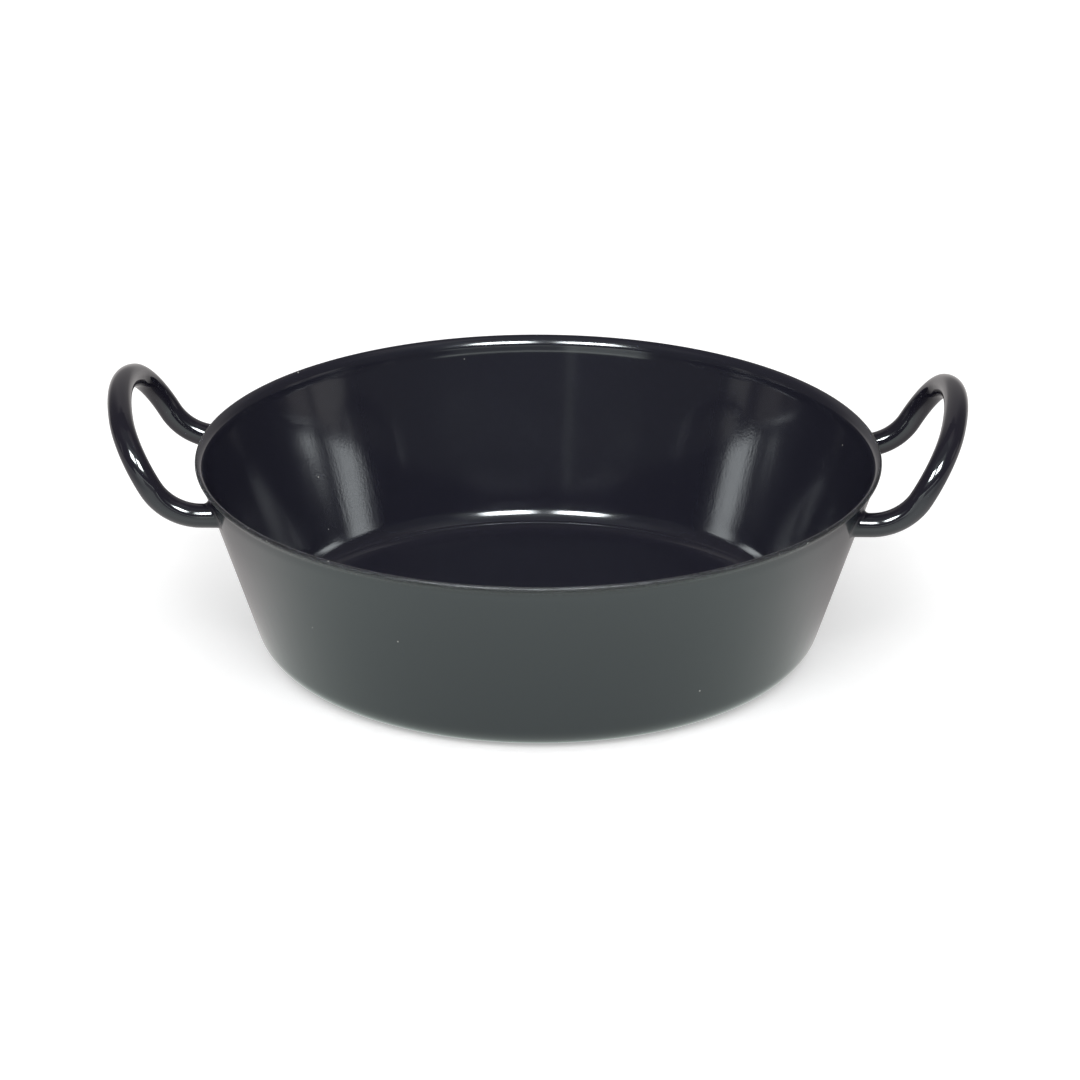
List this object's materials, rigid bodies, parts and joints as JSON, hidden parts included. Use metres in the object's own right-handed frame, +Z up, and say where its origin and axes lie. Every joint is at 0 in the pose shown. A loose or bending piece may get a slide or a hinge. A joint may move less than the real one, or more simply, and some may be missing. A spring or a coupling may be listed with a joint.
{
  "type": "schnitzel pan",
  "caption": "Round enamelled steel pan with a leaning wall, a flared rim and bent rod handles welded on opposite sides.",
  "frame": {"origin": "centre of the flat base, on the pan's axis", "axes": "+Z up along the pan's axis, the handles at -X and +X, +Y away from the front"},
  "size_m": [0.3486, 0.28, 0.1127],
  "materials": {
    "black_enamel": "glossy black enamel fired on steel"
  },
  "bodies": {
    "root": {"pan_body": "black_enamel", "left_handle": "black_enamel", "right_handle": "black_enamel"}
  },
  "joints": []
}
